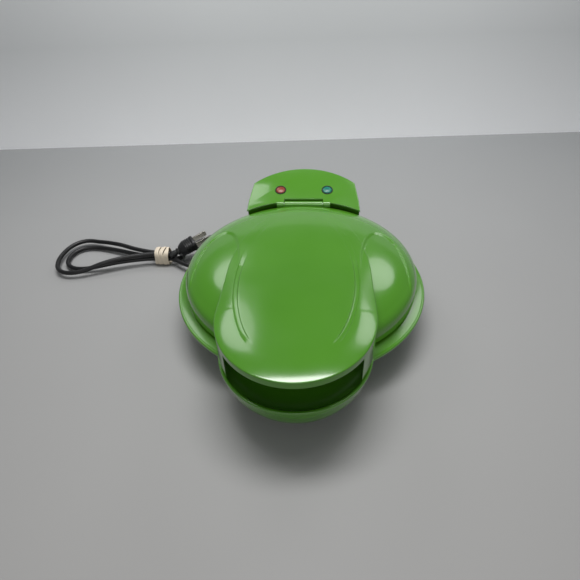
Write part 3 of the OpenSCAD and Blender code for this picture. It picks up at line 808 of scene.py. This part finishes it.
def make_blades():
    apart, half_thick = 6.35, 0.75
    line = [(-3.1, 26.5), (-3.1, 42.4), (-2.2, 43.9), (2.2, 43.9), (3.1, 42.4), (3.1, 26.5)]
    n = len(line)
    verts, faces = [], []
    for side in (-1, 1):
        start = len(verts)
        for y in (side * apart - half_thick, side * apart + half_thick):
            verts += [(x, y, z) for x, z in line]
        faces += [[start + i for i in range(n)], [start + n + i for i in range(n)][::-1]]
        faces += [[start + i, start + (i + 1) % n, start + n + (i + 1) % n, start + n + i] for i in range(n)]
    return on_plug(add_mesh("blades", verts, faces))


plug_shell = make_plug()
blades = make_blades()
moulded = [lid_dome, upper_handle, lid_barrel, base, tower_top, sleeve, wraps, plug_shell]
for piece in moulded + shade_collars + domes:
    smooth(piece)


# Materials, made of shader nodes.
def material(name):
    mat = bpy.data.materials.new(name)
    mat.use_nodes = True
    tree = mat.node_tree
    tree.nodes.clear()
    out = tree.nodes.new("ShaderNodeOutputMaterial")
    bsdf = tree.nodes.new("ShaderNodeBsdfPrincipled")
    tree.links.new(bsdf.outputs[0], out.inputs[0])
    return mat, tree, bsdf


def node(tree, kind, **values):
    n = tree.nodes.new(kind)
    for key, value in values.items():
        if key in n.inputs:
            n.inputs[key].default_value = value
        else:
            setattr(n, key, value)
    return n


def coords(tree):
    return tree.nodes.new("ShaderNodeTexCoord").outputs["Object"]


def ramp(tree, value, stops):
    r = tree.nodes.new("ShaderNodeValToRGB")
    tree.links.new(value, r.inputs[0])
    elements = r.color_ramp.elements
    while len(elements) < len(stops):
        elements.new(0.5)
    for element, (position, colour) in zip(elements, stops):
        element.position = position
        element.color = (*colour, 1)
    return r.outputs[0]


def grey_ramp(tree, value, dark, light):
    return ramp(tree, value, [(0.3, (dark,) * 3), (0.7, (light,) * 3)])


def noise(tree, vec, scale, detail=3.0, rough=0.5):
    n = node(tree, "ShaderNodeTexNoise", Scale=scale, Detail=detail, Roughness=rough)
    tree.links.new(vec, n.inputs["Vector"])
    return n.outputs[0]


def mix(tree, factor, first, second, blend="MIX"):
    """Mixes two colours. Each of the three inputs is a socket or a plain value."""
    n = node(tree, "ShaderNodeMix", data_type="RGBA", blend_type=blend)
    for place, value in ((0, factor), (6, first), (7, second)):
        if isinstance(value, bpy.types.NodeSocket):
            tree.links.new(value, n.inputs[place])
        else:
            n.inputs[place].default_value = value
    return n.outputs[2]


def bump(tree, bsdf, height, strength, distance, bevel=0.0):
    """height is a socket; bevel rounds the edges by that many metres."""
    b = node(tree, "ShaderNodeBump", Strength=strength, Distance=distance)
    tree.links.new(height, b.inputs["Height"])
    if bevel:
        rounding = node(tree, "ShaderNodeBevel", Radius=bevel, samples=4)
        tree.links.new(rounding.outputs[0], b.inputs["Normal"])
    tree.links.new(b.outputs[0], bsdf.inputs["Normal"])


def plastic(name, dark, light, rough, grain, grain_depth, coat=0.0, bevel=0.0004, glint_and_dust_specks=True):
    mat, tree, bsdf = material(name)
    vec = coords(tree)
    colour = ramp(tree, noise(tree, vec, 9, 3), [(0.3, dark), (0.7, light)])
    # Pale specks in the colour: partly painted glints, partly dust.
    if glint_and_dust_specks:
        glint_and_dust_mask = ramp(tree, noise(tree, vec, 620, 1, 0.4), [(0.74, (0, 0, 0)), (0.8, (1, 1, 1))])
        glint_and_dust_tone = [min(1, part * gain + 0.03) for part, gain in zip(light, (2.2, 1.5, 2))]
        colour = mix(tree, glint_and_dust_mask, colour, (*glint_and_dust_tone, 1))
    tree.links.new(colour, bsdf.inputs["Base Color"])
    roughness = grey_ramp(tree, noise(tree, vec, 30, 4), rough * 0.82, rough * 1.25)
    tree.links.new(roughness, bsdf.inputs["Roughness"])
    if coat:
        bsdf.inputs["Coat Weight"].default_value = coat
        bsdf.inputs["Coat Roughness"].default_value = 0.09
    bump(tree, bsdf, noise(tree, vec, grain, 2), grain_depth, 0.0002, bevel)
    return mat


def metal(name, colour, rough):
    mat, tree, bsdf = material(name)
    streak = noise(tree, coords(tree), 60, 5, 0.7)
    tone = ramp(tree, streak, [(0.3, tuple(c * 0.8 for c in colour)), (0.7, colour)])
    tree.links.new(tone, bsdf.inputs["Base Color"])
    tree.links.new(grey_ramp(tree, streak, rough * 0.7, rough * 1.3), bsdf.inputs["Roughness"])
    bsdf.inputs["Metallic"].default_value = 1.0
    bump(tree, bsdf, streak, 0.1, 0.0001, 0.0003)
    return mat


def clear_lens(name, dark, light):
    mat, tree, bsdf = material(name)
    vec = coords(tree)
    tone = ramp(tree, noise(tree, vec, 300, 2), [(0.35, dark), (0.65, light)])
    tree.links.new(tone, bsdf.inputs["Base Color"])
    bsdf.inputs["Roughness"].default_value = 0.3
    bump(tree, bsdf, noise(tree, vec, 900, 2), 0.15, 0.0002, 0.0005)
    return mat


def plain_plastic(name, dark, light, rough, grain, grain_depth, **more):
    return plastic(name, dark, light, rough, grain, grain_depth, glint_and_dust_specks=False, **more)


green = plain_plastic(
    "green_plastic", (0.058, 0.215, 0.009), (0.07, 0.245, 0.013), 0.2, 260, 0.04, coat=0.5, bevel=0.0006)
black = plastic("black_plastic", (0.012, 0.012, 0.013), (0.02, 0.02, 0.021), 0.5, 900, 0.25)
rubber = plain_plastic("foot_rubber", (0.01, 0.01, 0.01), (0.02, 0.02, 0.02), 0.75, 1200, 0.4)
sheath = plain_plastic("lead_sheath", (0.002, 0.002, 0.0025), (0.005, 0.005, 0.0055), 0.42, 1500, 0.15)
white = plain_plastic("white_plastic", (0.7, 0.69, 0.65), (0.78, 0.77, 0.73), 0.45, 500, 0.1)
beige = plain_plastic("band_rubber", (0.52, 0.44, 0.33), (0.72, 0.63, 0.5), 0.7, 700, 0.5)
coating = plastic("nonstick", (0.014, 0.014, 0.015), (0.024, 0.024, 0.026), 0.36, 1400, 0.35, coat=0.15)
steel = metal("steel", (0.6, 0.6, 0.62), 0.32)
brass = metal("plated_blades", (0.78, 0.74, 0.66), 0.25)
lens_red = clear_lens("lens_red", (0.19, 0.028, 0.011), (0.26, 0.045, 0.02))
lens_green = clear_lens("lens_green", (0.001, 0.13, 0.09), (0.004, 0.18, 0.13))

FINISH = {
    "green_plastic": green, "black_plastic": black, "rubber_black": rubber, "nonstick": coating,
    "steel": steel, "lens_red": lens_red, "lens_green": lens_green, "white_plastic": white,
    "cord_black": sheath, "band_rubber": beige, "blade_brass": brass,
}

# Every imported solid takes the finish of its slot.
slots = {part["node"]: part["material_slot"] for part in frame["record"]["subparts"]}
for name, obj in frame["nodes"].items():
    finish = FINISH[slots[name]]
    if not obj.material_slots:
        obj.data.materials.append(finish)
    for place in obj.material_slots:
        place.material = finish

# Each new piece: its finish, its body and the node it stands for.
for piece, slot, body, stands_for in (
    (lid_dome, "green_plastic", "lid", "lid_shell"),
    (upper_handle, "green_plastic", "lid", "lid_shell"),
    (lid_barrel, "green_plastic", "lid", "lid_shell"),
    (base, "green_plastic", "base", "base_shell"),
    (tower_top, "green_plastic", "base", "tower_cover"),
    (domes[0], "lens_red", "base", "red_lens"),
    (domes[1], "lens_green", "base", "green_lens"),
    (shade_collars[0], "black_plastic", "base", "red_lens"),
    (shade_collars[1], "black_plastic", "base", "green_lens"),
    (sleeve, "cord_black", "base", "strain_relief"),
    (wraps, "band_rubber", "base", "hank_band"),
    (plug_shell, "cord_black", "base", "plug_body"),
    (blades, "blade_brass", "base", "plug_blades"),
):
    piece.data.materials.clear()
    piece.data.materials.append(FINISH[slot])
    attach(piece, body)
    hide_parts(stands_for)
lead.data.materials.append(sheath)
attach(lead, "base")
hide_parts("cord", "cord_hank")


# Floor, wall and light, in metres. The floor's rear edge runs as the photograph's does.
STAGE_HALF = 3
EDGE_LEFT_Y = 0.266
EDGE_RIGHT_Y = 0.632
WALL_TOP = 0.27


def stage_mesh(name, verts, mat):
    data = bpy.data.meshes.new(name)
    data.from_pydata(verts, [], [(0, 1, 2, 3)])
    obj = bpy.data.objects.new(name, data)
    scene.collection.objects.link(obj)
    obj.data.materials.append(mat)


def stage_with_painted_shade(name, axis, start, end, near, far, rough):
    """A plain surface whose tone runs from near to far along one axis as a painted gradient of light and
    shade, with faint clouding.
    """
    mat, tree, bsdf = material(name)
    vec = coords(tree)
    split = tree.nodes.new("ShaderNodeSeparateXYZ")
    tree.links.new(vec, split.inputs[0])
    along = node(tree, "ShaderNodeMapRange")
    along.inputs["From Min"].default_value = start
    along.inputs["From Max"].default_value = end
    tree.links.new(split.outputs[axis], along.inputs["Value"])
    tone = ramp(tree, along.outputs[0], [(0.0, near), (1.0, far)])
    cloud = grey_ramp(tree, noise(tree, vec, 2.2, 3), 0.97, 1.03)
    tree.links.new(mix(tree, 1.0, tone, cloud, "MULTIPLY"), bsdf.inputs["Base Color"])
    bsdf.inputs["Roughness"].default_value = rough
    bsdf.inputs["Specular IOR Level"].default_value = 0.25
    bump(tree, bsdf, noise(tree, vec, 500, 2), 0.04, 0.0002)
    return mat


# The table is painted darker towards the rear: painted shade.
table_mat = stage_with_painted_shade("table", 1, -0.5, 0.45, (0.37, 0.362, 0.352), (0.285, 0.292, 0.295), 0.55)
# The wall is painted bright near the floor and darker upwards: painted light and shade.
wall_mat = stage_with_painted_shade("wall", 2, 0.0, 0.16, (0.96, 0.97, 0.98), (0.6, 0.615, 0.62), 0.8)
stage_mesh("floor", [
    (-STAGE_HALF, -STAGE_HALF, 0), (STAGE_HALF, -STAGE_HALF, 0),
    (STAGE_HALF, EDGE_RIGHT_Y, 0), (-STAGE_HALF, EDGE_LEFT_Y, 0)], table_mat)
stage_mesh("backdrop", [
    (-STAGE_HALF, EDGE_LEFT_Y, -0.01), (STAGE_HALF, EDGE_RIGHT_Y, -0.01),
    (STAGE_HALF, EDGE_RIGHT_Y, WALL_TOP), (-STAGE_HALF, EDGE_LEFT_Y, WALL_TOP)], wall_mat)


def area(name, place, target, size, power):
    """A soft oval light. size is its width and height, power is in watts."""
    data = bpy.data.lights.new(name, "AREA")
    data.shape = "ELLIPSE"
    data.size, data.size_y = size
    data.energy = power
    obj = bpy.data.objects.new(name, data)
    scene.collection.objects.link(obj)
    obj.location = place
    obj.rotation_euler = (Vector(target) - Vector(place)).to_track_quat("-Z", "Y").to_euler()


area("key", (-0.02, 0.2, 1.1), (0, 0.04, 0), (0.8, 0.22), 7.2)
area("left", (-0.25, 0.36, 0.46), (0, 0, 0.06), (0.26, 0.2), 0.4)
area("right", (0.29, 0.39, 0.46), (0, 0, 0.06), (0.26, 0.2), 0.4)
area("wall_wash", (0.0, 0.0, 0.8), (0, 0.48, 0.1), (0.9, 0.15), 2.4)
area("front_fill", (0.0, -1.1, 0.55), (0, -0.14, 0.02), (1.0, 0.3), 2.2)
world = bpy.data.worlds.new("world")
scene.world = world
world.use_nodes = True
background = world.node_tree.nodes["Background"]
background.inputs["Color"].default_value = (0.85, 0.87, 0.9, 1)
background.inputs["Strength"].default_value = 0.2
scene.view_settings.view_transform = "Standard"
